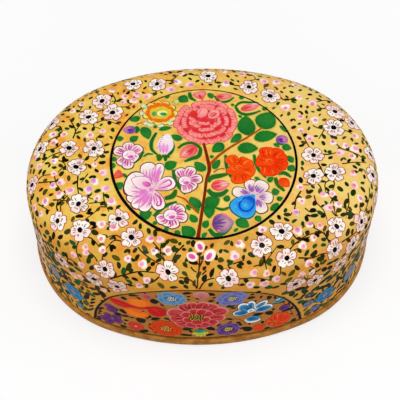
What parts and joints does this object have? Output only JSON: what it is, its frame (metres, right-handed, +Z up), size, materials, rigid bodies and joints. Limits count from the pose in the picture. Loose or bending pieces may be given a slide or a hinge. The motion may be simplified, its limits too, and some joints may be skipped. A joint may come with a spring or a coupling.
{
  "type": "papier-mache box",
  "caption": "Oval papier-mache box with a deep lift-off lid over an inner tray, gold lacquered and hand-painted with traditional flowers.",
  "frame": {"origin": "centre of the foot plate's underside, on the surface that the box stands on", "axes": "+Z up through the middle of the lid; +X along the oval's long axis; -Y towards the viewer of the picture"},
  "size_m": [0.152, 0.117, 0.06],
  "materials": {
    "gold_lacquer": "bronze-powder gold ground under clear gloss lacquer, on papier-mache",
    "black_lacquer": "black paint under clear satin lacquer, on papier-mache",
    "flower_paint": "hand-painted tempera flowers, leaves and lines under clear gloss lacquer"
  },
  "bodies": {
    "base": {"foot_plate": "gold_lacquer", "floor_board": "black_lacquer", "tray_hoop": "black_lacquer"},
    "lid": {"lid_hoop": "gold_lacquer", "lid_crown": "gold_lacquer"}
  },
  "joints": [
    {"name": "lid_lift", "type": "slide", "parent": "base", "child": "lid", "axis": [0, 0, 1], "range_m": [0, 0.05]}
  ]
}
